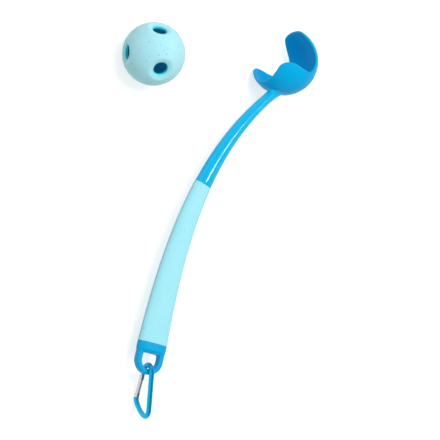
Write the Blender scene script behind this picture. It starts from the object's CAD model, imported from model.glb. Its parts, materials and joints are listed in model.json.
"""A dog ball thrower lying on its side, with its ball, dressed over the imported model."""

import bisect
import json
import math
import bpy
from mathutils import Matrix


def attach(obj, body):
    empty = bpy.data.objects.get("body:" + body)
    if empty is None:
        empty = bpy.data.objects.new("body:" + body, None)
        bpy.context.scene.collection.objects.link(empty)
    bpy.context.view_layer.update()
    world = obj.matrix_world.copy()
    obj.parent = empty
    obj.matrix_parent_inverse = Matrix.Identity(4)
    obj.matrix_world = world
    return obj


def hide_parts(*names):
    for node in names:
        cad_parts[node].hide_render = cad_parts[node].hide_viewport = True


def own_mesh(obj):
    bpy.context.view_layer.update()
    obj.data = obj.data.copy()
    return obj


bl_info = {
    "name": "Dog ball thrower",
    "version": (1, 0, 0),
    "blender": (4, 5, 0),
    "location": "View3D > Sidebar > Thrower",
    "description": "Builds the finished pieces of a dog ball thrower and its ball",
    "category": "Add Mesh",
}

import bmesh
import bpy
from bpy.props import FloatProperty, FloatVectorProperty, PointerProperty
from mathutils import Matrix, Vector

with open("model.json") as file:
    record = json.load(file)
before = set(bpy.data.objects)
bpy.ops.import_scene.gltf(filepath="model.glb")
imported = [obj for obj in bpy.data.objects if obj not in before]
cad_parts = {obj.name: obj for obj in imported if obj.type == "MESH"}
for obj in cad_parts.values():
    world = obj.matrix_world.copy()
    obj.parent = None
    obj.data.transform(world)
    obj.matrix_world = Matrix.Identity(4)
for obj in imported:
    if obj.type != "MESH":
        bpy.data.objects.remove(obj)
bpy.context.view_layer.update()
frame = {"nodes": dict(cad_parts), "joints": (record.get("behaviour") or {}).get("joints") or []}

# Shared by several pieces
SEAT_GAP = 0.0003
WELD_DISTANCE = 0.0000005
CUTTER_OVERRUN = 0.002
ROUND_STEPS = 4
LEAST_STEP = 1e-12
LEAST_PACE = 1e-6

# Where the thrower lies: the cup's centre and the tilt that rests it on the cup and the carabiner
CUP_CENTRE = Vector((0.072018, 0.178887, 0.034421))
TILT = math.radians(2.060711)

# Cup rim of one half, as turn about the pole and reach from it in degrees, from blade to notch
CUP_POLE_ANGLE = -30
CUP_RIM = [
    (0, 109.3), (17, 108.4), (32, 103.5), (42, 88), (52, 66), (64, 55), (80, 51.5), (94, 56),
    (102, 72), (108, 90), (116, 100.6), (127, 104.4), (141, 100), (156, 95.2), (180, 92.8),
]

# Arm
HANDLE_OFFSET = 0.0809
HANDLE_END = 0.3185
ARM_BASE_PULL = 0.112
ARM_SEAT_ANGLE = -96.4
ARM_ARRIVAL_ANGLE = 50.3
ARM_ARRIVAL_PULL = 0.101
ARM_NECK_WIDTH = 0.0103
ARM_NECK_THICKNESS = 0.0104
ARM_BASE_THICKNESS = 0.0123
ARM_WIDTH_POWER = 1.15
ARM_BASE_SQUARENESS = 2.6
ARM_NECK_SWELL = 0.0012
ARM_SWELL_LENGTH = 0.012
ARM_RING_SPACING = 0.003
CORE_RING_SPACING = 0.012
LINE_STEPS = 2000
# The arm's eased shoulder where it leaves the grip, as distance past the grip and inset
ARM_SHOULDER = [(0, 0.0006), (0.0002, 0.0002), (0.0006, 0)]
# The fillet onto the cup: where it starts before the arm's end, how far it spreads and sinks in,
# and how far back along the arm the cup's near side may be met
FILLET_START = 0.0075
FILLET_REACH = 0.003
FILLET_SINK = 0.0006
FILLET_BACK_LIMIT = -0.004

# Grip and end cap
GRIP_PROUD = 0.00035
GRIP_WALL = 0.0018
GRIP_EDGE = 0.0003
GRIP_END_GAP = 0.001
CORE_GROWTH = GRIP_PROUD - GRIP_WALL - SEAT_GAP
CAP_SIDES = 96
CAP_VOXEL = 0.0004
CAP_SOFTENING_ROUNDS = 6
COLLAR_LENGTH = 0.0072
COLLAR_FOOT_SQUARENESS = 4.5
SHOULDER_LENGTH = 0.003
SHOULDER_SQUARENESS = 3
PLUG_INSET = 0.0025
PLUG_OVERLAP = 0.002
PLUG_REACH = 0.024
LOOP_CENTRE_DROP = 0.0063
LOOP_BEVEL = 0.0015
LOOP_BEVEL_STEPS = 6
LOOP_TOP_REACH = 0.006
LOOP_SQUARENESS = 12
LOOP_HOLE_SQUARENESS = 7

# Carabiner, in a frame at the centre of its top bend, with the cam's angles in degrees
GATE_ANGLE = math.radians(20.5)
BEND_RADIUS = 0.00868
BEND_STEPS = 40
HINGE_ALONG = 0.0059
WIRE_START = 0.003
WIRE_EDGE = 0.0004
SPINE_LENGTH = 0.0355
SPINE_LEAN = math.radians(1.5)
SPINE_STEPS = 12
FOOT_RADIUS = 0.0064
FOOT_TURN = math.radians(106)
FOOT_PULL = 0.009
FOOT_STEPS = 24
NOSE_PULL = 0.0045
SWEEP_STEPS = 40
CAM_RADIUS = 0.0024
CAM_LIFT = 0.00115
CAM_START = -90
CAM_END = 55
CAM_STEP = 5
TONGUE_THICKNESS = 0.0019
TONGUE_ROOT = 0.0015
HOOK_THICKNESS = 0.0016
HOOK_ROOT = 0.0016
HOOK_HEAD = 0.0013
HOOK_OUTER_INSET = 0.0001
HOOK_INNER_INSET = 0.0004
HOOK_CHAMFER = 0.0006
NOTCH_STEPS = 12

# Gate, its pins and its spring
GATE_LENGTH = 0.0228
GATE_RADIUS = 0.0025
GATE_EDGE = 0.0004
GATE_SIDES = 64
GATE_DOME_WIDTH = 0.6
GATE_DOME_DEPTH = 0.8
LATCH_FROM_END = 0.0027
LATCH_SLOT_DEPTH = 0.0017
LATCH_PIN_RADIUS = 0.00075
RIVET_RADIUS = 0.00095
PIN_EDGE_SHARE = 0.25
PIN_CLEARANCE = 0.00005
PIN_RECESS = 0.00012
PIN_DOME = 0.0001
PIN_HOLE_HALF = 0.004
SLOT_HALF = 0.006
BORE_RADIUS = 0.00145
BORE_END = 0.0155
BORE_OVERLAP = 0.001
BORE_SIDES = 32
PLUNGER_LENGTH = 0.0044
SPRING_RADIUS = 0.00125
SPRING_WIRE_RADIUS = 0.000225
SPRING_TURNS = 7

# Ball, with its pole between the holes, so that no hole is cut through it
BALL_CENTRE = Vector((-0.076132, 0.140127, 0.03175))
BALL_TURN = (math.radians(42), math.radians(0.8), math.radians(106.1))
BALL_POLE = Vector((1, 1.1, 1.2))
BALL_LIP_RADIUS = 0.0012
BALL_LIP_STEPS = 8
BALL_HOLE_DEPTH = 0.013
BALL_HOLE_SIDES = 96
BALL_DISH_SLOPE = math.tan(math.radians(16))
BALL_DISH_BLEND = 0.0003
BALL_DISH_STEPS = 24
# Past the dish, the cutter lifts off the ball's surface
DISH_LIFT_START = 0.001
DISH_LIFT_REACH = 0.0008
DISH_LIFT_SLOPE = 0.07

# Finishes: noise scales are per metre, and a spread is a share of the value
NOISE_LOW = 0.3
NOISE_HIGH = 0.7
GRAIN_HEIGHT = 0.0001
PLASTIC_TINT_SCALE = 22
PLASTIC_TINT_SPREAD = 0.06
PLASTIC_GLOSS_SCALE = 90
PLASTIC_GLOSS_SPREAD = 0.15
PLASTIC_GRAIN_SCALE = 1400
PLASTIC_COAT_ROUGHNESS = 0.05
RUBBER_TINT_SCALE = 35
RUBBER_TINT_SPREAD = 0.03
RUBBER_GLOSS_SCALE = 160
RUBBER_GLOSS_SPREAD = 0.1
RUBBER_GRAIN_SCALE = 1800
RUBBER_GRAIN_STRENGTH = 0.12
RUBBER_SHINE = 0.25
RUBBER_LIGHT_REACH = (0.003, 0.004, 0.004)
SPECK_SCALE = 260
SPECK_CORE = 0.14
SPECK_EDGE = 0.24
SPECK_FADE = 0.02
SPECK_STRENGTH = 0.75
METAL_MARK_SCALE = 900
METAL_MARK_STRENGTH = 0.004
METAL_MARK_HEIGHT = 0.00001
METAL_TINT_LOW = 0.93
METAL_TINT_HIGH = 1.05
METAL_GLOSS_SPREAD = 0.1
STEEL_COLOUR = (0.5, 0.51, 0.52)
# Distances from the ball's centre between which a deeper colour gives way to the outer one
HOLE_WALL_REACH = (0.0272, 0.03)
HOLE_WALL_COLOUR = (0.0, 0.8, 0.97)
HOLLOW_REACH = (0.02575, 0.0262)
HOLLOW_COLOUR = (0.0, 0.54, 0.74)

# Stage
WHITE = (1, 1, 1, 1)
BLACK = (0, 0, 0, 1)
FLOOR_HALF = 6.0
FLOOR_DROP = 0.0001
FLOOR_COLOUR = (0.62, 0.62, 0.62, 1)
FLOOR_ROUGHNESS = 0.9
FLOOR_LIFT = 0.62
CARD_LEFT = -0.6
CARD_RIGHT = 2.6
CARD_HALF_DEPTH = 4
CARD_HEIGHT = 2
CARD_GLOW = (0.18, 0.22, 0.3, 1)
WORLD_STRENGTH = 0.53
LAMP_TARGET = Vector((0, 0, 0.03))
KEY_PLACE = Vector((0, 0.5, 1.93))
KEY_SIZE = 1.0
KEY_WATTS = 23.5
STRIP_PLACE = Vector((1.08, 0.42, 1.9))
STRIP_WIDTH = 0.07
STRIP_LENGTH = 1.6
STRIP_WATTS = 22
CAMERA_LENS = 149.8
CAMERA_SENSOR = 36
CAMERA_FAR = 50
CAMERA_RIGHT = Vector((0.8356, 0.1884, 0.5160))
CAMERA_UP = Vector((-0.2581, 0.9639, 0.0661))
CAMERA_OFFSET = Vector((-0.9344, -0.5293, 1.5774))


def size_property(name, description, default):
    return FloatProperty(
        name=name, description=description, default=default, subtype="DISTANCE", unit="LENGTH")


def colour_property(name, description, default):
    return FloatVectorProperty(
        name=name, description=description, default=default, subtype="COLOR", min=0, max=1)


class ThrowerSizes(bpy.types.PropertyGroup):
    """Sizes of the pieces that a user would change"""
    ball_diameter: size_property("Ball", "Outside diameter of the ball", 0.0634)
    ball_wall: size_property("Ball wall", "Thickness of the ball's wall", 0.006)
    hole_diameter: size_property("Ball hole", "Diameter of each hole in the ball", 0.0144)
    dish_diameter: size_property("Hole dish", "Diameter of the shallow dish round each hole", 0.0246)
    cup_radius: size_property("Cup", "Outside radius of the cup", 0.0355)
    cup_wall: size_property("Cup wall", "Thickness of the cup", 0.0024)
    arm_width: size_property("Arm width", "Width of the arm's outline at the handle's end", 0.0315)
    grip_length: size_property("Grip length", "Length of the soft grip along the arm", 0.169)
    loop_radius: size_property("Loop", "Outside radius of the hanging loop", 0.0147)
    loop_bar: size_property("Loop bar", "Width of the loop's bar", 0.0055)
    loop_thickness: size_property("Loop thickness", "Thickness of the hanging loop", 0.0086)
    wire_diameter: size_property("Carabiner wire", "Diameter of the carabiner's wire", 0.00518)


class ThrowerColours(bpy.types.PropertyGroup):
    """Colours of the pieces that a user would change"""
    cup: colour_property("Cup", "Colour of the cup", (0.0, 0.43, 0.82))
    arm: colour_property("Arm", "Colour of the arm", (0.0, 0.47, 0.82))
    cap: colour_property("End cap", "Colour of the end cap", (0.0, 0.4, 0.76))
    grip: colour_property("Grip", "Colour of the soft grip", (0.36, 0.82, 0.92))
    ball: colour_property("Ball", "Colour of the ball", (0.45, 0.83, 0.9))
    speck: colour_property("Specks", "Colour of the specks in the soft rubber", (0.16, 0.5, 0.8))
    carabiner: colour_property("Carabiner", "Colour of the anodised hook", (0.0, 0.42, 0.7))
    gate: colour_property("Gate", "Colour of the gate's metal", (0.58, 0.59, 0.61))


# Places

def thrower_place():
    return Matrix.Translation(CUP_CENTRE) @ Matrix.Rotation(TILT, 4, "X")


def joint_named(name):
    return next(joint for joint in frame["joints"] if joint["name"] == name)


def carabiner_place():
    """The hook's frame: +X up to the spine, +Y towards the loop's centre, +Z along the swing axis."""
    joint = joint_named("carabiner_swing")
    up = thrower_place().to_3x3() @ Vector((0, 0, 1))
    axis = Vector(joint["axis"]).normalized()
    back = axis.cross(up).normalized()
    turn = Matrix((up, back, axis)).transposed().to_4x4()
    return Matrix.Translation(Vector(joint["pos_m"])) @ turn


def gate_turn():
    return Matrix.Rotation(math.pi - GATE_ANGLE, 4, "Z")


def gate_place():
    """The gate's frame: the rivet at the origin, +Y towards the nose and +X outwards."""
    return carabiner_place() @ Matrix.Translation(hinge_point()) @ gate_turn()


def gate_line():
    return Vector((-math.sin(GATE_ANGLE), -math.cos(GATE_ANGLE), 0))


def bend_end():
    return Vector((-BEND_RADIUS * math.cos(GATE_ANGLE), BEND_RADIUS * math.sin(GATE_ANGLE), 0))


def hinge_point():
    return bend_end() + gate_line() * HINGE_ALONG


# Mesh making

def lofted(rings, sleeve=False):
    """Closed skin over rings of equal point counts, with fans on its ends or closed on itself."""
    count = len(rings[0])
    points = [point for ring in rings for point in ring]
    faces = []
    bands = len(rings) if sleeve else len(rings) - 1
    for r in range(bands):
        following = (r + 1) % len(rings)
        for i in range(count):
            j = (i + 1) % count
            faces.append((r * count + i, r * count + j, following * count + j, following * count + i))
    if not sleeve:
        for first, reverse in ((0, True), ((len(rings) - 1) * count, False)):
            points.append(sum((points[first + i] for i in range(count)), Vector()) / count)
            middle = len(points) - 1
            for i in range(count):
                a = first + i
                b = first + (i + 1) % count
                faces.append((middle, b, a) if reverse else (middle, a, b))
    return points, faces


def mesh_object(name, parts, place, sharp=None):
    """One smooth-shaded object from several closed skins, in the row's frame."""
    mesh = bpy.data.meshes.new(name)
    points, faces = [], []
    for part_points, part_faces in parts:
        start = len(points)
        points += [place @ point for point in part_points]
        faces += [tuple(start + i for i in face) for face in part_faces]
    mesh.from_pydata(points, [], faces)
    builder = bmesh.new()
    builder.from_mesh(mesh)
    bmesh.ops.recalc_face_normals(builder, faces=builder.faces)
    builder.to_mesh(mesh)
    builder.free()
    shade(mesh, sharp)
    thing = bpy.data.objects.new(name, mesh)
    bpy.context.scene.collection.objects.link(thing)
    return thing


def shade(mesh, sharp=None):
    mesh.shade_smooth()
    if sharp:
        mesh.set_sharp_from_angle(angle=math.radians(sharp))


def settle(thing, sharp=None):
    """Applies the object's modifiers to its mesh."""
    graph = bpy.context.evaluated_depsgraph_get()
    graph.update()
    finished = bpy.data.meshes.new_from_object(thing.evaluated_get(graph))
    thing.modifiers.clear()
    thing.data = finished
    shade(finished, sharp)


def weld(mesh):
    """Closes the slivers that a cut leaves."""
    builder = bmesh.new()
    builder.from_mesh(mesh)
    bmesh.ops.remove_doubles(builder, verts=builder.verts, dist=WELD_DISTANCE)
    bmesh.ops.dissolve_degenerate(builder, edges=builder.edges, dist=WELD_DISTANCE)
    builder.to_mesh(mesh)
    builder.free()


def cut(thing, cutters, sharp=None, operation="DIFFERENCE"):
    """Cuts the cutters out of a piece, or joins them to it, and deletes them."""
    for cutter in cutters:
        modifier = thing.modifiers.new("cut", "BOOLEAN")
        modifier.operation = operation
        modifier.solver = "EXACT"
        modifier.object = cutter
    settle(thing, sharp)
    weld(thing.data)
    for cutter in cutters:
        bpy.data.objects.remove(cutter)


def melt(thing, voxel, rounds, factor=0.5):
    """Joins overlapping skins into one moulded surface with soft edges."""
    remesh = thing.modifiers.new("melt", "REMESH")
    remesh.mode = "VOXEL"
    remesh.voxel_size = voxel
    remesh.use_smooth_shade = True
    smooth = thing.modifiers.new("soften", "SMOOTH")
    smooth.iterations = rounds
    smooth.factor = factor
    settle(thing)


def finish_piece(thing, material, body, node):
    """Gives a piece its material, its body and the solid that it stands for."""
    thing.data.materials.clear()
    thing.data.materials.append(material)
    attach(thing, body)
    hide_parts(node)


def softened(value, squareness):
    """Pushes a sine or cosine outwards, from a round section towards a square one."""
    return math.copysign(abs(value) ** (2 / squareness), value)


def section_ring(centre, across, half_width, half_thickness, squareness, count=64):
    """A rounded section that is square to the arm."""
    ring = []
    for i in range(count):
        angle = 2 * math.pi * i / count
        x = half_width * softened(math.cos(angle), squareness)
        z = half_thickness * softened(math.sin(angle), squareness)
        ring.append(centre + across * x + Vector((0, 0, z)))
    return ring


def turned(profile, sides=48):
    """A closed turned skin about +Y from points of radius and height that start and end on the axis."""
    rings = []
    for radius, height in profile[1:-1]:
        rings.append([
            Vector((radius * math.cos(a), height, radius * math.sin(a)))
            for a in (2 * math.pi * i / sides for i in range(sides))
        ])
    points, faces = lofted(rings)
    points[-2] = Vector((0, profile[0][1], 0))
    points[-1] = Vector((0, profile[-1][1], 0))
    return points, faces


def cross_pin(radius, half_length, along, dome=0.0, sides=32):
    """A round pin along Z at a height along Y, with its ends slightly domed."""
    edge = radius * PIN_EDGE_SHARE
    points, faces = turned([
        (0, -half_length - dome), (radius - edge, -half_length), (radius, -half_length + edge),
        (radius, half_length - edge), (radius - edge, half_length), (0, half_length + dome),
    ], sides)
    return [Vector((p.x, along + p.z, p.y)) for p in points], faces


def plate(outline, thickness):
    """A flat plate in XY from a closed outline, as one closed skin."""
    half = thickness / 2
    count = len(outline)
    points = [Vector((x, y, -half)) for x, y in outline] + [Vector((x, y, half)) for x, y in outline]
    faces = [tuple(reversed(range(count))), tuple(range(count, 2 * count))]
    faces += [(i, (i + 1) % count, count + (i + 1) % count, count + i) for i in range(count)]
    return points, faces


def block(low, high):
    x0, y0, z0 = low
    x1, y1, z1 = high
    outline = [(x0, y0), (x1, y0), (x1, y1), (x0, y1)]
    points, faces = plate(outline, z1 - z0)
    return [p + Vector((0, 0, (z0 + z1) / 2)) for p in points], faces


# Curves

def in_plane(degrees):
    angle = math.radians(degrees)
    return Vector((math.cos(angle), math.sin(angle), 0))


def bezier(a, b, c, d, t):
    s = 1 - t
    return a * s ** 3 + b * (3 * s * s * t) + c * (3 * s * t * t) + d * t ** 3


def even_points(points, count, closed=False):
    """Points at even spacing along a fine line of points."""
    line = points + [points[0]] if closed else points
    along = [0.0]
    for a, b in zip(line, line[1:]):
        along.append(along[-1] + (b - a).length)
    wanted = [along[-1] * i / (count if closed else count - 1) for i in range(count)]
    result, k = [], 0
    for distance in wanted:
        while k < len(line) - 2 and along[k + 1] < distance:
            k += 1
        share = (distance - along[k]) / max(along[k + 1] - along[k], LEAST_STEP)
        result.append(line[k].lerp(line[k + 1], min(share, 1)))
    return result


def closed_spline(points, steps=40):
    """A smooth closed line through points, paced by the root of their spacing."""
    line = []
    count = len(points)
    for i in range(count):
        p0, p1, p2, p3 = (points[(i + k) % count] for k in (-1, 0, 1, 2))
        t0, t1, t2 = (max((b - a).length ** 0.5, LEAST_PACE) for a, b in ((p0, p1), (p1, p2), (p2, p3)))
        start = ((p1 - p0) / t0 - (p2 - p0) / (t0 + t1) + (p2 - p1) / t1) * t1
        end = ((p2 - p1) / t1 - (p3 - p1) / (t1 + t2) + (p3 - p2) / t2) * t1
        for k in range(steps):
            t = k / steps
            c2 = -3 * p1 + 3 * p2 - 2 * start - end
            c3 = 2 * p1 - 2 * p2 + start + end
            line.append(p1 + start * t + c2 * t * t + c3 * t ** 3)
    return line


# Materials

def new_material(name):
    material = bpy.data.materials.new(name)
    material.use_nodes = True
    tree = material.node_tree
    return material, tree, tree.nodes["Principled BSDF"]


def texture_place(tree):
    return tree.nodes.new("ShaderNodeTexCoord").outputs["Object"]


def preset(node, values):
    """Sets a node's own sockets by name."""
    for name, value in values.items():
        node.inputs[name].default_value = value


def joined(tree, operation, first, second):
    """The result of a calculation on two sockets."""
    node = tree.nodes.new("ShaderNodeMath")
    node.operation = operation
    tree.links.new(first, node.inputs[0])
    tree.links.new(second, node.inputs[1])
    return node.outputs[0]


def noise(tree, place, scale, detail=3):
    node = tree.nodes.new("ShaderNodeTexNoise")
    preset(node, {"Scale": scale, "Detail": detail})
    tree.links.new(place, node.inputs["Vector"])
    return node.outputs["Fac"]


def ranged(tree, value, low, high, to_low, to_high):
    node = tree.nodes.new("ShaderNodeMapRange")
    preset(node, {"From Min": low, "From Max": high, "To Min": to_low, "To Max": to_high})
    tree.links.new(value, node.inputs["Value"])
    return node.outputs["Result"]


def mixed(tree, share, first, second):
    """A blend of two colours, each a socket or three numbers, by a share from a socket."""
    node = tree.nodes.new("ShaderNodeMix")
    node.data_type = "RGBA"
    kinds = {"Factor": "VALUE", "A": "RGBA", "B": "RGBA"}
    for name, value in (("Factor", share), ("A", first), ("B", second)):
        target = next(s for s in node.inputs if s.name == name and s.type == kinds[name])
        if isinstance(value, bpy.types.NodeSocket):
            tree.links.new(value, target)
        else:
            target.default_value = (*value, 1)
    return next(s for s in node.outputs if s.type == "RGBA")


def bumped(tree, shader, height, strength, distance):
    node = tree.nodes.new("ShaderNodeBump")
    preset(node, {"Strength": strength, "Distance": distance})
    tree.links.new(height, node.inputs["Height"])
    tree.links.new(node.outputs["Normal"], shader.inputs["Normal"])


def scaled(colour, factor):
    return tuple(min(1, c * factor) for c in colour)


def uneven(tree, waver, value, spread):
    """A value that wanders a little with a noise."""
    return ranged(tree, waver, NOISE_LOW, NOISE_HIGH, value * (1 - spread), value * (1 + spread))


def tinted(tree, waver, colour, spread):
    """A colour that wanders a little with a noise."""
    return mixed(tree, waver, scaled(colour, 1 - spread), scaled(colour, 1 + spread))


def moulded_plastic(name, colour, roughness, ripple, coat=0.0, shine=0.08):
    """Coloured hard plastic with a faint flow variation and a slightly uneven gloss."""
    material, tree, shader = new_material(name)
    place = texture_place(tree)
    tint = tinted(tree, noise(tree, place, PLASTIC_TINT_SCALE, 2), colour, PLASTIC_TINT_SPREAD)
    gloss = uneven(tree, noise(tree, place, PLASTIC_GLOSS_SCALE, 4), roughness, PLASTIC_GLOSS_SPREAD)
    tree.links.new(tint, shader.inputs["Base Color"])
    tree.links.new(gloss, shader.inputs["Roughness"])
    preset(shader, {
        "Specular IOR Level": shine,
        "Coat Weight": coat,
        "Coat Roughness": PLASTIC_COAT_ROUGHNESS,
    })
    bumped(tree, shader, noise(tree, place, PLASTIC_GRAIN_SCALE, 2), ripple, GRAIN_HEIGHT)
    return material


def specks(tree, place, share):
    """How strongly a speck shows: a share of the cells has a dot at its middle."""
    cells = tree.nodes.new("ShaderNodeTexVoronoi")
    preset(cells, {"Scale": SPECK_SCALE})
    tree.links.new(place, cells.inputs["Vector"])
    dot = ranged(tree, cells.outputs["Distance"], SPECK_CORE, SPECK_EDGE, 1, 0)
    split = tree.nodes.new("ShaderNodeSeparateColor")
    tree.links.new(cells.outputs["Color"], split.inputs["Color"])
    least = 1 - share
    chosen = ranged(tree, split.outputs["Red"], least, least + SPECK_FADE, 0, SPECK_STRENGTH)
    return joined(tree, "MULTIPLY", dot, chosen)


def hollow_tinted(tree, place, centre, base):
    """Deeper colours on a hollow ball's hole walls and its inner face, by distance from its centre."""
    away = tree.nodes.new("ShaderNodeVectorMath")
    away.operation = "DISTANCE"
    away.inputs[1].default_value = centre
    tree.links.new(place, away.inputs[0])
    for (low, high), tint in ((HOLE_WALL_REACH, HOLE_WALL_COLOUR), (HOLLOW_REACH, HOLLOW_COLOUR)):
        base = mixed(tree, ranged(tree, away.outputs["Value"], low, high, 1, 0), base, tint)
    return base


def speckled_rubber(name, colour, speck, roughness, share, soft, hollow_centre=None):
    """Pale moulded rubber with scattered darker specks and a fine matte skin."""
    material, tree, shader = new_material(name)
    place = texture_place(tree)
    base = tinted(tree, noise(tree, place, RUBBER_TINT_SCALE), colour, RUBBER_TINT_SPREAD)
    base = mixed(tree, specks(tree, place, share), base, speck)
    if hollow_centre is not None:
        base = hollow_tinted(tree, place, hollow_centre, base)
    gloss = uneven(tree, noise(tree, place, RUBBER_GLOSS_SCALE, 4), roughness, RUBBER_GLOSS_SPREAD)
    tree.links.new(base, shader.inputs["Base Color"])
    tree.links.new(gloss, shader.inputs["Roughness"])
    preset(shader, {
        "Specular IOR Level": RUBBER_SHINE,
        "Subsurface Weight": soft,
        "Subsurface Radius": RUBBER_LIGHT_REACH,
        "Subsurface Scale": 1.0,
    })
    bumped(tree, shader, noise(tree, place, RUBBER_GRAIN_SCALE), RUBBER_GRAIN_STRENGTH, GRAIN_HEIGHT)
    return material


def drawn_metal(name, colour, roughness, metallic=1.0):
    """Metal with fine drawn marks and a slightly uneven polish."""
    material, tree, shader = new_material(name)
    marks = noise(tree, texture_place(tree), METAL_MARK_SCALE, 4)
    tint = mixed(tree, marks, scaled(colour, METAL_TINT_LOW), scaled(colour, METAL_TINT_HIGH))
    tree.links.new(tint, shader.inputs["Base Color"])
    tree.links.new(uneven(tree, marks, roughness, METAL_GLOSS_SPREAD), shader.inputs["Roughness"])
    preset(shader, {"Metallic": metallic})
    bumped(tree, shader, marks, METAL_MARK_STRENGTH, METAL_MARK_HEIGHT)
    return material


# The cup

def cup_rim(count):
    pole = in_plane(CUP_POLE_ANGLE)
    blade = in_plane(CUP_POLE_ANGLE + 90)
    side = Vector((0, 0, 1))
    stations = CUP_RIM + [(-turn, reach) for turn, reach in reversed(CUP_RIM[1:-1])]
    places = []
    for turn, reach in stations:
        turn, reach = math.radians(turn), math.radians(reach)
        outwards = blade * math.cos(turn) + side * math.sin(turn)
        places.append(pole * math.cos(reach) + outwards * math.sin(reach))
    return pole, [point.normalized() for point in even_points(closed_spline(places), count, True)]


def swept_towards(pole, direction, share):
    angle = pole.angle(direction)
    return (pole * math.sin((1 - share) * angle) + direction * math.sin(share * angle)) / math.sin(angle)


def cup_skin(outer, wall, count=288, faces_rings=44, round_steps=12):
    pole, rim = cup_rim(count)
    middle = outer - wall / 2
    outwards = []
    for i, direction in enumerate(rim):
        edge = (rim[(i + 1) % count] - rim[i - 1]).cross(direction).normalized()
        outwards.append(edge)
    if outwards[0].dot(pole) > 0:
        outwards = [-edge for edge in outwards]
    rings = []
    for i in range(1, faces_rings):
        rings.append([swept_towards(pole, d, i / faces_rings) * outer for d in rim])
    for i in range(round_steps + 1):
        angle = math.pi * i / round_steps
        rings.append([
            d * (middle + wall / 2 * math.cos(angle)) + e * (wall / 2 * math.sin(angle))
            for d, e in zip(rim, outwards)
        ])
    for i in range(faces_rings - 1, 0, -1):
        rings.append([swept_towards(pole, d, i / faces_rings) * (outer - wall) for d in rim])
    points, faces = lofted(rings)
    points[-2] = pole * outer
    points[-1] = pole * (outer - wall)
    return points, faces


# The arm

def arm_line(cup_radius):
    """The arm's centre line as its four control points and its length at even steps."""
    seat = in_plane(ARM_SEAT_ANGLE) * cup_radius
    base = Vector((-HANDLE_OFFSET, -HANDLE_END, 0))
    lower = base + Vector((0, ARM_BASE_PULL, 0))
    upper = seat - in_plane(ARM_ARRIVAL_ANGLE) * ARM_ARRIVAL_PULL
    controls = (base, lower, upper, seat)
    fine = [bezier(*controls, i / LINE_STEPS) for i in range(LINE_STEPS + 1)]
    lengths = [0.0]
    for first, second in zip(fine, fine[1:]):
        lengths.append(lengths[-1] + (second - first).length)
    return controls, lengths


def line_place(line, distance):
    """The centre and the direction of the arm at a distance from its base."""
    controls, lengths = line
    k = min(max(bisect.bisect_right(lengths, distance) - 1, 0), LINE_STEPS - 1)
    t = (k + (distance - lengths[k]) / (lengths[k + 1] - lengths[k])) / LINE_STEPS
    t = min(max(t, 0), 1)
    a, b, c, d = controls
    along = (b - a) * (3 * (1 - t) ** 2) + (c - b) * (6 * t * (1 - t)) + (d - c) * (3 * t * t)
    return bezier(a, b, c, d, t), along.normalized()


def arm_ring(line, sizes, distance, growth):
    """The arm's section at a distance from its base, grown outwards or inwards."""
    length = line[1][-1]
    share = min(max(distance / length, 0), 1)
    centre, along = line_place(line, distance)
    across = Vector((along.y, -along.x, 0))
    swell = max(0, (distance - length + ARM_SWELL_LENGTH) / ARM_SWELL_LENGTH)
    wider = growth + ARM_NECK_SWELL * swell * swell
    left = (1 - share) ** ARM_WIDTH_POWER
    half_width = (ARM_NECK_WIDTH + (sizes.arm_width - ARM_NECK_WIDTH) * left) / 2 + wider
    half_thickness = (ARM_BASE_THICKNESS + (ARM_NECK_THICKNESS - ARM_BASE_THICKNESS) * share) / 2 + wider
    squareness = ARM_BASE_SQUARENESS + (2 - ARM_BASE_SQUARENESS) * share
    return section_ring(centre, across, half_width, half_thickness, squareness)


def arm_rings(line, sizes, start, end, growth, spacing=ARM_RING_SPACING):
    steps = max(2, round((end - start) / spacing))
    return [
        arm_ring(line, sizes, start + (end - start) * i / steps, growth) for i in range(steps + 1)
    ]


def neck_fillet(ring, cup_radius, steps=12):
    """Rings that carry the arm's neck out onto the cup in a soft fillet."""
    along = in_plane(ARM_ARRIVAL_ANGLE)
    centre = sum(ring, Vector()) / len(ring)
    curves = []
    for point in ring:
        reach = point.dot(along)
        half_chord = math.sqrt(max(reach * reach - point.length_squared + cup_radius ** 2, 0))
        near = -reach - half_chord
        corner = point + along * (near if near > FILLET_BACK_LIMIT else -reach + half_chord)
        away = point - centre
        radial = corner.normalized()
        sideways = (away - radial * away.dot(radial)).normalized()
        landing = (corner + sideways * FILLET_REACH).normalized() * cup_radius
        curves.append((point, corner, landing))
    rings = []
    for i in range(1, steps + 1):
        t = i / steps
        rings.append([a * (1 - t) ** 2 + b * (2 * t * (1 - t)) + c * t * t for a, b, c in curves])
    rings.append([c * ((cup_radius - FILLET_SINK) / cup_radius) for _, _, c in curves])
    return rings


class THROWER_OT_cup(bpy.types.Operator):
    """Make the three-lobed cup with its round rim"""
    bl_idname = "thrower.cup"
    bl_label = "Make cup"

    def execute(self, context):
        sizes = context.scene.thrower_sizes
        colours = context.scene.thrower_colours
        cup = mesh_object("cup", [cup_skin(sizes.cup_radius, sizes.cup_wall)], thrower_place())
        material = moulded_plastic("cup plastic", colours.cup, roughness=0.4, ripple=0.05)
        finish_piece(cup, material, "thrower", "ball_cup")
        return {"FINISHED"}


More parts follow.
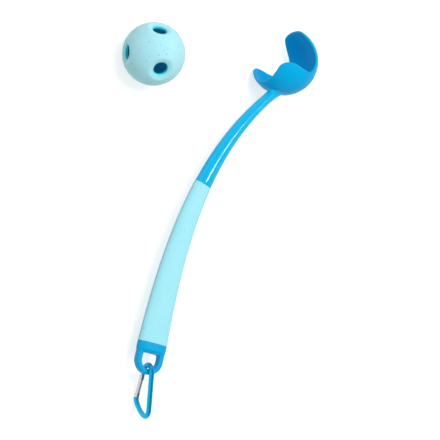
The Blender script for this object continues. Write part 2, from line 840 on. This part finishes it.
class THROWER_OT_arm(bpy.types.Operator):
    """Make the curved arm, its core in the grip and its fillet onto the cup"""
    bl_idname = "thrower.arm"
    bl_label = "Make arm"

    def execute(self, context):
        sizes = context.scene.thrower_sizes
        colours = context.scene.thrower_colours
        line = arm_line(sizes.cup_radius)
        shoulder = sizes.grip_length
        neck_start = line[1][-1] - FILLET_START
        rings = arm_rings(line, sizes, 0, shoulder, CORE_GROWTH, CORE_RING_SPACING)
        for past, inset in ARM_SHOULDER:
            rings.append(arm_ring(line, sizes, shoulder + past, -inset))
        rings += arm_rings(line, sizes, shoulder + ARM_RING_SPACING, neck_start, 0)
        rings += neck_fillet(rings[-1], sizes.cup_radius)
        arm = mesh_object("arm", [lofted(rings)], thrower_place(), sharp=50)
        material = moulded_plastic(
            "arm plastic", colours.arm, roughness=0.4, ripple=0.005, coat=0.5, shine=0.02)
        finish_piece(arm, material, "thrower", "throwing_arm")
        return {"FINISHED"}


def grip_edge(line, sizes, end, inwards, steps):
    """Rings from the grip's full skin out over its eased edge, at the end that is given."""
    rings = []
    for i in range(steps):
        angle = math.pi / 2 * i / ROUND_STEPS
        distance = end + inwards * GRIP_EDGE * (1 - math.sin(angle))
        growth = GRIP_PROUD - GRIP_EDGE * (1 - math.cos(angle))
        rings.append(arm_ring(line, sizes, distance, growth))
    return rings


class THROWER_OT_grip(bpy.types.Operator):
    """Make the soft grip over the lower half of the arm"""
    bl_idname = "thrower.grip"
    bl_label = "Make grip"

    def execute(self, context):
        sizes = context.scene.thrower_sizes
        colours = context.scene.thrower_colours
        line = arm_line(sizes.cup_radius)
        end = sizes.grip_length
        inside = arm_rings(line, sizes, 0, end, GRIP_PROUD - GRIP_WALL, CORE_RING_SPACING)
        rings = grip_edge(line, sizes, 0, 1, ROUND_STEPS)[::-1]
        rings += arm_rings(line, sizes, GRIP_END_GAP, end - GRIP_END_GAP, GRIP_PROUD)
        rings += grip_edge(line, sizes, end, -1, ROUND_STEPS + 1)
        rings += inside[::-1]
        grip = mesh_object("grip", [lofted(rings, True)], thrower_place(), sharp=60)
        material = speckled_rubber(
            "grip rubber", colours.grip, colours.speck, roughness=0.55, share=0.06, soft=0.1)
        finish_piece(grip, material, "thrower", "handle_grip")
        return {"FINISHED"}


def loop_section(half_thickness):
    """Inset and height along the loop's rounded edge, from its lower face to its upper face."""
    lower = []
    for i in range(LOOP_BEVEL_STEPS + 1):
        angle = math.pi / 2 * i / LOOP_BEVEL_STEPS
        height = LOOP_BEVEL * (1 - math.cos(angle)) - half_thickness
        lower.append((LOOP_BEVEL * (1 - math.sin(angle)), height))
    return lower + [(inset, -height) for inset, height in reversed(lower)]


def loop_ring(centre, height, width, top, squareness, count=160):
    """A half round below and a rounded square above, round the loop's centre."""
    ring = []
    for i in range(count):
        angle = 2 * math.pi * i / count
        x, y = math.cos(angle), math.sin(angle)
        radius = width
        if y > 0:
            radius = ((abs(x) / width) ** squareness + (y / top) ** squareness) ** (-1 / squareness)
        ring.append(centre + Vector((radius * x, radius * y, height)))
    return ring


def cap_heights():
    """The top of the cap, of its shoulder and of its loop, along the handle."""
    top = -HANDLE_END
    shoulder = top - SEAT_GAP - COLLAR_LENGTH
    return top, shoulder, shoulder - SHOULDER_LENGTH


def cap_ring(y, half_width, half_thickness, squareness=ARM_BASE_SQUARENESS):
    centre = Vector((-HANDLE_OFFSET, y, 0))
    across = Vector((1, 0, 0))
    return section_ring(centre, across, half_width, half_thickness, squareness, CAP_SIDES)


def cap_collar(sizes):
    """The collar, narrowing over its shoulder to the loop's width and thickness."""
    top, shoulder, loop_top = cap_heights()
    full = sizes.arm_width / 2 + GRIP_PROUD
    thick = ARM_BASE_THICKNESS / 2 + GRIP_PROUD
    half_loop = sizes.loop_thickness / 2
    middle = (full + sizes.loop_radius) / 2
    return lofted([
        cap_ring(top, full, thick),
        cap_ring((top + shoulder) / 2, full, thick),
        cap_ring(shoulder, full, thick),
        cap_ring((shoulder + loop_top) / 2, middle, (thick + half_loop) / 2, SHOULDER_SQUARENESS),
        cap_ring(loop_top, sizes.loop_radius, half_loop, COLLAR_FOOT_SQUARENESS),
    ])


def cap_plug(sizes):
    growth = CORE_GROWTH - PLUG_INSET
    return lofted([
        cap_ring(y, sizes.arm_width / 2 + growth, ARM_BASE_THICKNESS / 2 + growth)
        for y in (-HANDLE_END - PLUG_OVERLAP, -HANDLE_END + PLUG_REACH)
    ])


def hanging_loop(sizes):
    hole = sizes.loop_radius - sizes.loop_bar
    centre = Vector((-HANDLE_OFFSET, cap_heights()[2] - LOOP_CENTRE_DROP, 0))
    section = loop_section(sizes.loop_thickness / 2)
    top = LOOP_CENTRE_DROP + LOOP_TOP_REACH
    rings = [
        loop_ring(centre, height, sizes.loop_radius - inset, top, LOOP_SQUARENESS)
        for inset, height in section
    ]
    rings += [
        loop_ring(centre, height, hole + inset, LOOP_CENTRE_DROP + inset, LOOP_HOLE_SQUARENESS)
        for inset, height in reversed(section)
    ]
    return lofted(rings, True)


class THROWER_OT_cap(bpy.types.Operator):
    """Make the end cap with its collar, plug and hanging loop"""
    bl_idname = "thrower.cap"
    bl_label = "Make end cap"

    def execute(self, context):
        sizes = context.scene.thrower_sizes
        colours = context.scene.thrower_colours
        skins = [cap_collar(sizes), cap_plug(sizes), hanging_loop(sizes)]
        cap = mesh_object("end_cap_loop", skins, thrower_place())
        melt(cap, CAP_VOXEL, CAP_SOFTENING_ROUNDS)
        material = moulded_plastic("cap plastic", colours.cap, roughness=0.3, ripple=0.03, coat=0.1)
        finish_piece(cap, material, "thrower", "end_cap")
        return {"FINISHED"}


# The carabiner

def arc(centre, radius, start, end, steps):
    return [
        centre + Vector((math.cos(a), math.sin(a), 0)) * radius
        for a in (start + (end - start) * i / steps for i in range(steps + 1))
    ]


def wire_line():
    """The hook's middle line, from the hinge's end round the bend and the foot to the nose."""
    start = bend_end() + gate_line() * WIRE_START
    top = arc(Vector(), BEND_RADIUS, math.pi - GATE_ANGLE, SPINE_LEAN, BEND_STEPS)
    spine = Vector((math.sin(SPINE_LEAN), -math.cos(SPINE_LEAN), 0))
    spine_end = top[-1] + spine * SPINE_LENGTH
    foot_centre = spine_end - Vector((math.cos(SPINE_LEAN), math.sin(SPINE_LEAN), 0)) * FOOT_RADIUS
    foot = arc(foot_centre, FOOT_RADIUS, SPINE_LEAN, SPINE_LEAN - FOOT_TURN, FOOT_STEPS)
    heading = SPINE_LEAN - FOOT_TURN - math.pi / 2
    foot_line = Vector((math.cos(heading), math.sin(heading), 0))
    nose = hinge_point() + gate_line() * (GATE_LENGTH + SEAT_GAP)
    pulls = (foot[-1] + foot_line * FOOT_PULL, nose + gate_line() * NOSE_PULL)
    sweep = [bezier(foot[-1], *pulls, nose, i / SWEEP_STEPS) for i in range(SWEEP_STEPS + 1)]
    spine_points = [top[-1].lerp(spine_end, i / SPINE_STEPS) for i in range(1, SPINE_STEPS)]
    return [start, bend_end()] + top[1:] + spine_points + foot + sweep[1:]


def wire_skin(line, radius, sides=40):
    """A round tube along the hook's line, with both ends square to the gate and slightly eased."""
    rings = []
    axis = Vector((0, 0, 1))
    last = len(line) - 1
    for i, point in enumerate(line):
        inner = 0 < i < last
        along = (line[i + 1] - line[i - 1]).normalized() if inner else gate_line() * -1
        across = along.cross(axis)
        ring = [
            across * math.cos(a) + axis * math.sin(a)
            for a in (2 * math.pi * k / sides for k in range(sides))
        ]
        if inner:
            rings.append([point + v * radius for v in ring])
            continue
        inwards = along * (WIRE_EDGE if i == 0 else -WIRE_EDGE)
        face = [point + v * (radius - WIRE_EDGE) for v in ring]
        eased = [point + inwards + v * radius for v in ring]
        rings += [face, eased] if i == 0 else [eased, face]
    return lofted(rings)


def on_gate_line(part):
    """Moves a skin from the gate's frame to the hook's."""
    points, faces = part
    place = Matrix.Translation(hinge_point()) @ gate_turn()
    return [place @ point for point in points], faces


def tongue_outline():
    """The hinge tongue, with the cam that pushes the plunger as the gate opens."""
    root = -(HINGE_ALONG - WIRE_START) - TONGUE_ROOT
    outline = [(CAM_RADIUS, root)]
    for degrees in range(CAM_START, CAM_END + 1, CAM_STEP):
        angle = math.radians(degrees)
        radius = CAM_RADIUS + CAM_LIFT * max(0, angle)
        outline.append((-radius * math.sin(angle), radius * math.cos(angle)))
    outline += [(-CAM_RADIUS, 0), (-CAM_RADIUS, root)]
    return outline


def latch_height():
    return GATE_LENGTH - LATCH_FROM_END


def hook_outline():
    """The latch hook on the nose, with the notch that holds the gate's pin."""
    notch = LATCH_PIN_RADIUS + SEAT_GAP
    centre = latch_height()
    root = GATE_LENGTH + HOOK_ROOT
    outside = GATE_RADIUS - HOOK_OUTER_INSET
    inside = -GATE_RADIUS + HOOK_INNER_INSET
    top = centre - notch - HOOK_HEAD
    outline = [(outside, root), (inside, root), (inside, centre + notch), (0, centre + notch)]
    for i in range(1, NOTCH_STEPS):
        angle = math.pi / 2 - math.pi * i / NOTCH_STEPS
        outline.append((notch * math.cos(angle), centre + notch * math.sin(angle)))
    outline += [(0, centre - notch), (inside, centre - notch), (inside + HOOK_CHAMFER, top)]
    outline += [(outside - HOOK_CHAMFER, top), (outside, top + HOOK_CHAMFER)]
    return outline


class THROWER_OT_carabiner(bpy.types.Operator):
    """Make the carabiner's hook with its hinge tongue and latch hook"""
    bl_idname = "thrower.carabiner"
    bl_label = "Make carabiner"

    def execute(self, context):
        sizes = context.scene.thrower_sizes
        colours = context.scene.thrower_colours
        place = carabiner_place()
        hook = mesh_object("carabiner_hook", [wire_skin(wire_line(), sizes.wire_diameter / 2)], place)
        skins = {
            "tongue": plate(tongue_outline(), TONGUE_THICKNESS),
            "latch_hook": plate(hook_outline(), HOOK_THICKNESS),
        }
        plates = [mesh_object(name, [on_gate_line(skin)], place) for name, skin in skins.items()]
        cut(hook, plates, sharp=40, operation="UNION")
        material = drawn_metal("anodised blue", colours.carabiner, roughness=0.4, metallic=0.85)
        finish_piece(hook, material, "carabiner", "carabiner_body")
        return {"FINISHED"}


def spring_ends():
    """The spring's two ends along the gate, from the plunger's back to the end of the bore."""
    return CAM_RADIUS + PLUNGER_LENGTH + 2 * SEAT_GAP, BORE_END - SEAT_GAP


def spring_skin(steps_per_turn=24, sides=10):
    """The coil from the plunger's back to the end of the bore, as one closed tube about +Y."""
    low, high = spring_ends()
    middle = SPRING_RADIUS - SPRING_WIRE_RADIUS
    climb = high - low - 2 * SPRING_WIRE_RADIUS
    full_turn = 2 * math.pi * SPRING_TURNS
    rings = []
    for i in range(SPRING_TURNS * steps_per_turn + 1):
        share = i / (SPRING_TURNS * steps_per_turn)
        away = Vector((math.cos(full_turn * share), 0, math.sin(full_turn * share)))
        centre = away * middle + Vector((0, low + SPRING_WIRE_RADIUS + climb * share, 0))
        along = Vector((-away.z * middle * full_turn, climb, away.x * middle * full_turn)).normalized()
        lift = away.cross(along)
        rings.append([
            centre + (away * math.cos(a) + lift * math.sin(a)) * SPRING_WIRE_RADIUS
            for a in (2 * math.pi * k / sides for k in range(sides))
        ])
    return lofted(rings)


def gate_tube():
    """The gate's tube before its cuts, with a domed hinge end and an eased free end."""
    eased = [
        (GATE_RADIUS - GATE_EDGE * (1 - math.cos(a)), GATE_LENGTH - GATE_EDGE * (1 - math.sin(a)))
        for a in (math.pi / 2 * i / ROUND_STEPS for i in range(ROUND_STEPS + 1))
    ]
    dome = [(0, -GATE_RADIUS), (GATE_RADIUS * GATE_DOME_WIDTH, -GATE_RADIUS * GATE_DOME_DEPTH)]
    return turned(dome + [(GATE_RADIUS, 0)] + eased + [(0, GATE_LENGTH)], GATE_SIDES)


def gate_cutters(place):
    """The fork's slot, the latch hook's slot, the spring's bore and the holes of the two pins."""
    fork_depth = CAM_RADIUS + CAM_LIFT * math.radians(CAM_END) + SEAT_GAP
    fork = TONGUE_THICKNESS / 2 + SEAT_GAP
    latch = HOOK_THICKNESS / 2 + SEAT_GAP
    latch_floor = latch_height() - LATCH_PIN_RADIUS - SEAT_GAP - LATCH_SLOT_DEPTH
    latch_end = GATE_LENGTH + CUTTER_OVERRUN
    bore_start = fork_depth - BORE_OVERLAP
    bore = [(0, bore_start), (BORE_RADIUS, bore_start), (BORE_RADIUS, BORE_END), (0, BORE_END)]
    skins = {
        "fork": block((-SLOT_HALF, -SLOT_HALF, -fork), (SLOT_HALF, fork_depth, fork)),
        "latch": block((-SLOT_HALF, latch_floor, -latch), (SLOT_HALF, latch_end, latch)),
        "bore": turned(bore, BORE_SIDES),
        "rivet_hole": cross_pin(RIVET_RADIUS + PIN_CLEARANCE, PIN_HOLE_HALF, 0),
        "pin_hole": cross_pin(LATCH_PIN_RADIUS + PIN_CLEARANCE, PIN_HOLE_HALF, latch_height()),
    }
    return [mesh_object(name, [skin], place) for name, skin in skins.items()]


class THROWER_OT_gate(bpy.types.Operator):
    """Make the forked gate with its rivet, latch pin, spring and plunger"""
    bl_idname = "thrower.gate"
    bl_label = "Make gate"

    def execute(self, context):
        colours = context.scene.thrower_colours
        place = gate_place()
        gate = mesh_object("carabiner_gate_tube", [gate_tube()], place)
        cut(gate, gate_cutters(place), sharp=35)
        silver = drawn_metal("gate metal", colours.gate, roughness=0.16)
        finish_piece(gate, silver, "gate", "carabiner_gate")
        steel = drawn_metal("pin steel", STEEL_COLOUR, roughness=0.3)
        for name, radius, height, node in (
            ("hinge_rivet", RIVET_RADIUS, 0, "gate_hinge_rivet"),
            ("latch_pin", LATCH_PIN_RADIUS, latch_height(), "gate_latch_pin"),
        ):
            skin = cross_pin(radius, GATE_RADIUS - PIN_RECESS, height, PIN_DOME)
            pin = mesh_object(name, [skin], place, sharp=40)
            finish_piece(pin, steel, "gate", node)
        plunger = frame["nodes"]["gate_plunger"]
        plunger.data.materials.clear()
        plunger.data.materials.append(steel)
        coil = mesh_object("gate_coil", [spring_skin()], place)
        finish_piece(coil, steel, "gate", "gate_spring")
        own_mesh(coil)
        return {"FINISHED"}


# The ball

def hole_directions():
    """Both ends of the ball's three axes."""
    directions = []
    for axis in range(3):
        for side in (1, -1):
            direction = Vector()
            direction[axis] = side
            directions.append(direction)
    return directions


def aimed(direction):
    """Turns +Y to a direction."""
    return Vector((0, 1, 0)).rotation_difference(direction.normalized()).to_matrix().to_4x4()


def sphere_skin(radius, segments=128, rings=80):
    profile = [(0, -radius)]
    for i in range(1, rings):
        angle = math.pi * i / rings
        profile.append((radius * math.sin(angle), -radius * math.cos(angle)))
    profile.append((0, radius))
    return turned(profile, segments)


def hole_cutter(sizes):
    """A hole with a rounded lip, sunk in a dish that blends out into the ball's surface."""
    radius = sizes.ball_diameter / 2
    hole = sizes.hole_diameter / 2
    dish = sizes.dish_diameter / 2
    edge = math.sqrt(radius ** 2 - dish ** 2)

    def cone(across):
        return edge - (dish - across) * BALL_DISH_SLOPE

    def blended(across):
        sphere = math.sqrt(radius ** 2 - across ** 2)
        low = min(cone(across), sphere)
        parts = [math.exp((low - height) / BALL_DISH_BLEND) for height in (cone(across), sphere)]
        return low - BALL_DISH_BLEND * math.log(sum(parts))

    slope = math.atan(BALL_DISH_SLOPE)
    middle = hole + BALL_LIP_RADIUS
    end = middle - BALL_LIP_RADIUS * math.sin(slope)
    lip_height = cone(end) - BALL_LIP_RADIUS * math.cos(slope)
    profile = [(0, radius - BALL_HOLE_DEPTH), (hole, radius - BALL_HOLE_DEPTH)]
    for i in range(BALL_LIP_STEPS + 1):
        angle = math.pi - (math.pi / 2 - slope) * i / BALL_LIP_STEPS
        across = middle + BALL_LIP_RADIUS * math.cos(angle)
        profile.append((across, lip_height + BALL_LIP_RADIUS * math.sin(angle)))
    outer = dish + DISH_LIFT_START
    for i in range(1, BALL_DISH_STEPS + 1):
        across = end + (outer + DISH_LIFT_REACH - end) * i / BALL_DISH_STEPS
        profile.append((across, blended(across) + max(0, across - outer) * DISH_LIFT_SLOPE))
    last = profile[-1][0]
    profile += [(last, radius + CUTTER_OVERRUN), (0, radius + CUTTER_OVERRUN)]
    return turned(profile, BALL_HOLE_SIDES)


class THROWER_OT_ball(bpy.types.Operator):
    """Make the hollow ball with its dished round holes"""
    bl_idname = "thrower.ball"
    bl_label = "Make ball"

    def execute(self, context):
        sizes = context.scene.thrower_sizes
        colours = context.scene.thrower_colours
        radius = sizes.ball_diameter / 2
        a, b, c = BALL_TURN
        turn = Matrix.Rotation(a, 4, "X") @ Matrix.Rotation(b, 4, "Y") @ Matrix.Rotation(c, 4, "Z")
        place = Matrix.Translation(BALL_CENTRE) @ turn
        between = place @ aimed(BALL_POLE)
        ball = mesh_object("rubber_ball", [sphere_skin(radius)], between)
        hollow = sphere_skin(radius - sizes.ball_wall, segments=96, rings=60)
        cut(ball, [mesh_object("hollow", [hollow], between)])
        points, faces = hole_cutter(sizes)
        holes = [([aimed(way) @ point for point in points], faces) for way in hole_directions()]
        cut(ball, [mesh_object("holes", holes, place)], sharp=40)
        material = speckled_rubber(
            "ball rubber", colours.ball, colours.speck, roughness=0.5, share=0.3, soft=0.6,
            hollow_centre=BALL_CENTRE)
        finish_piece(ball, material, "loose_ball", "ball")
        return {"FINISHED"}


# The stage

def camera_ray_mix(tree, plain, seen):
    """Uses the seen shader for camera, glossy and transmission rays and the plain one for light."""
    rays = tree.nodes.new("ShaderNodeLightPath")
    total = rays.outputs["Is Camera Ray"]
    for name in ("Is Glossy Ray", "Is Transmission Ray"):
        total = joined(tree, "MAXIMUM", total, rays.outputs[name])
    mix = tree.nodes.new("ShaderNodeMixShader")
    for i, output in enumerate((total, plain, seen)):
        tree.links.new(output, mix.inputs[i])
    return mix.outputs[0]


def floor_material():
    """Pale matte floor that is lifted to white for the camera and keeps its shadows."""
    material, tree, shader = new_material("pale floor")
    preset(shader, {"Base Color": FLOOR_COLOUR, "Roughness": FLOOR_ROUGHNESS, "Specular IOR Level": 0.0})
    lift = tree.nodes.new("ShaderNodeEmission")
    preset(lift, {"Color": WHITE, "Strength": FLOOR_LIFT})
    add = tree.nodes.new("ShaderNodeAddShader")
    tree.links.new(shader.outputs[0], add.inputs[0])
    tree.links.new(lift.outputs[0], add.inputs[1])
    output = tree.nodes["Material Output"]
    tree.links.new(camera_ray_mix(tree, shader.outputs[0], add.outputs[0]), output.inputs["Surface"])
    return material


def card_material():
    """Dull card with a weak glow, seen only in reflections."""
    material, _, shader = new_material("dark card")
    preset(shader, {
        "Base Color": BLACK,
        "Specular IOR Level": 0.0,
        "Emission Color": CARD_GLOW,
        "Emission Strength": 1.0,
    })
    return material


def stage_sheet(name, left, right, near, far, height, drop, material):
    """A level rectangle of the stage. It faces up, or down where near is the greater."""
    corners = [(left, near, height), (right, near, height), (right, far, height), (left, far, height)]
    mesh = bpy.data.meshes.new(name)
    mesh.from_pydata(corners, [], [(0, 1, 2, 3)])
    mesh.materials.append(material)
    sheet = bpy.data.objects.new(name, mesh)
    bpy.context.scene.collection.objects.link(sheet)
    sheet.location.z = -drop
    return sheet


def make_floor_and_card():
    stage_sheet(
        "floor", -FLOOR_HALF, FLOOR_HALF, -FLOOR_HALF, FLOOR_HALF, 0, FLOOR_DROP, floor_material())
    card = stage_sheet(
        "dark_card", CARD_LEFT, CARD_RIGHT, CARD_HALF_DEPTH, -CARD_HALF_DEPTH, CARD_HEIGHT, 0,
        card_material())
    card.visible_camera = False
    card.visible_diffuse = False
    card.visible_shadow = False
    card.visible_transmission = False


def make_world(scene):
    world = bpy.data.worlds.new("studio")
    scene.world = world
    world.use_nodes = True
    tree = world.node_tree
    plain = tree.nodes["Background"]
    seen = tree.nodes.new("ShaderNodeBackground")
    preset(plain, {"Color": WHITE, "Strength": WORLD_STRENGTH})
    preset(seen, {"Color": WHITE, "Strength": 1.0})
    surface = tree.nodes["World Output"].inputs["Surface"]
    tree.links.new(camera_ray_mix(tree, plain.outputs[0], seen.outputs[0]), surface)


def soft_light(name, location, width, length, watts):
    """A rectangular lamp that looks at the middle of the object."""
    data = bpy.data.lights.new(name, "AREA")
    data.shape = "RECTANGLE"
    data.size = width
    data.size_y = length
    data.energy = watts
    lamp = bpy.data.objects.new(name, data)
    bpy.context.scene.collection.objects.link(lamp)
    lamp.location = location
    lamp.rotation_mode = "QUATERNION"
    lamp.rotation_quaternion = (LAMP_TARGET - location).to_track_quat("-Z", "Y")
    return lamp


def make_lamps():
    """A key lamp that isn't reflected, and a narrow strip that all but the hook reflect."""
    key = soft_light("key", KEY_PLACE, KEY_SIZE, KEY_SIZE, KEY_WATTS)
    key.visible_glossy = False
    strip = soft_light("strip", STRIP_PLACE, STRIP_WIDTH, STRIP_LENGTH, STRIP_WATTS)
    strip.visible_diffuse = False
    strip.visible_transmission = False
    hook = bpy.data.objects.get("carabiner_hook")
    if hook:
        spared = bpy.data.collections.new("spared_by_strip")
        spared.objects.link(hook)
        spared.collection_objects[0].light_linking.link_state = "EXCLUDE"
        strip.light_linking.receiver_collection = spared


def make_camera(scene):
    data = bpy.data.cameras.new("camera")
    data.lens = CAMERA_LENS
    data.sensor_width = CAMERA_SENSOR
    data.clip_end = CAMERA_FAR
    camera = bpy.data.objects.new("camera", data)
    scene.collection.objects.link(camera)
    back = CAMERA_RIGHT.cross(CAMERA_UP)
    turn = Matrix((CAMERA_RIGHT, CAMERA_UP, back)).transposed().to_quaternion().normalized()
    camera.rotation_mode = "QUATERNION"
    camera.rotation_quaternion = turn
    camera.location = CUP_CENTRE + CAMERA_OFFSET
    scene.camera = camera


class THROWER_OT_stage(bpy.types.Operator):
    """Make the floor, the light and the camera"""
    bl_idname = "thrower.stage"
    bl_label = "Make stage"

    def execute(self, context):
        scene = context.scene
        make_floor_and_card()
        make_world(scene)
        make_lamps()
        make_camera(scene)
        scene.view_settings.view_transform = "Standard"
        return {"FINISHED"}


class THROWER_PT_panel(bpy.types.Panel):
    """Sizes, colours and the pieces' buttons"""
    bl_label = "Dog ball thrower"
    bl_idname = "THROWER_PT_panel"
    bl_space_type = "VIEW_3D"
    bl_region_type = "UI"
    bl_category = "Thrower"

    def draw(self, context):
        for group in (context.scene.thrower_sizes, context.scene.thrower_colours):
            column = self.layout.column(align=True)
            for name in group.bl_rna.properties.keys():
                if name not in {"rna_type", "name"}:
                    column.prop(group, name)
        for operator in OPERATORS:
            self.layout.operator(operator.bl_idname)


OPERATORS = (
    THROWER_OT_cup,
    THROWER_OT_arm,
    THROWER_OT_grip,
    THROWER_OT_cap,
    THROWER_OT_carabiner,
    THROWER_OT_gate,
    THROWER_OT_ball,
    THROWER_OT_stage,
)
CLASSES = (ThrowerSizes, ThrowerColours, *OPERATORS, THROWER_PT_panel)


def register():
    for cls in CLASSES:
        bpy.utils.register_class(cls)
    bpy.types.Scene.thrower_sizes = PointerProperty(type=ThrowerSizes)
    bpy.types.Scene.thrower_colours = PointerProperty(type=ThrowerColours)


def unregister():
    del bpy.types.Scene.thrower_colours
    del bpy.types.Scene.thrower_sizes
    for cls in reversed(CLASSES):
        bpy.utils.unregister_class(cls)


def main():
    register()
    bpy.ops.thrower.cup()
    bpy.ops.thrower.arm()
    bpy.ops.thrower.grip()
    bpy.ops.thrower.cap()
    bpy.ops.thrower.carabiner()
    bpy.ops.thrower.gate()
    bpy.ops.thrower.ball()
    bpy.ops.thrower.stage()


if __name__ == "__main__":
    main()
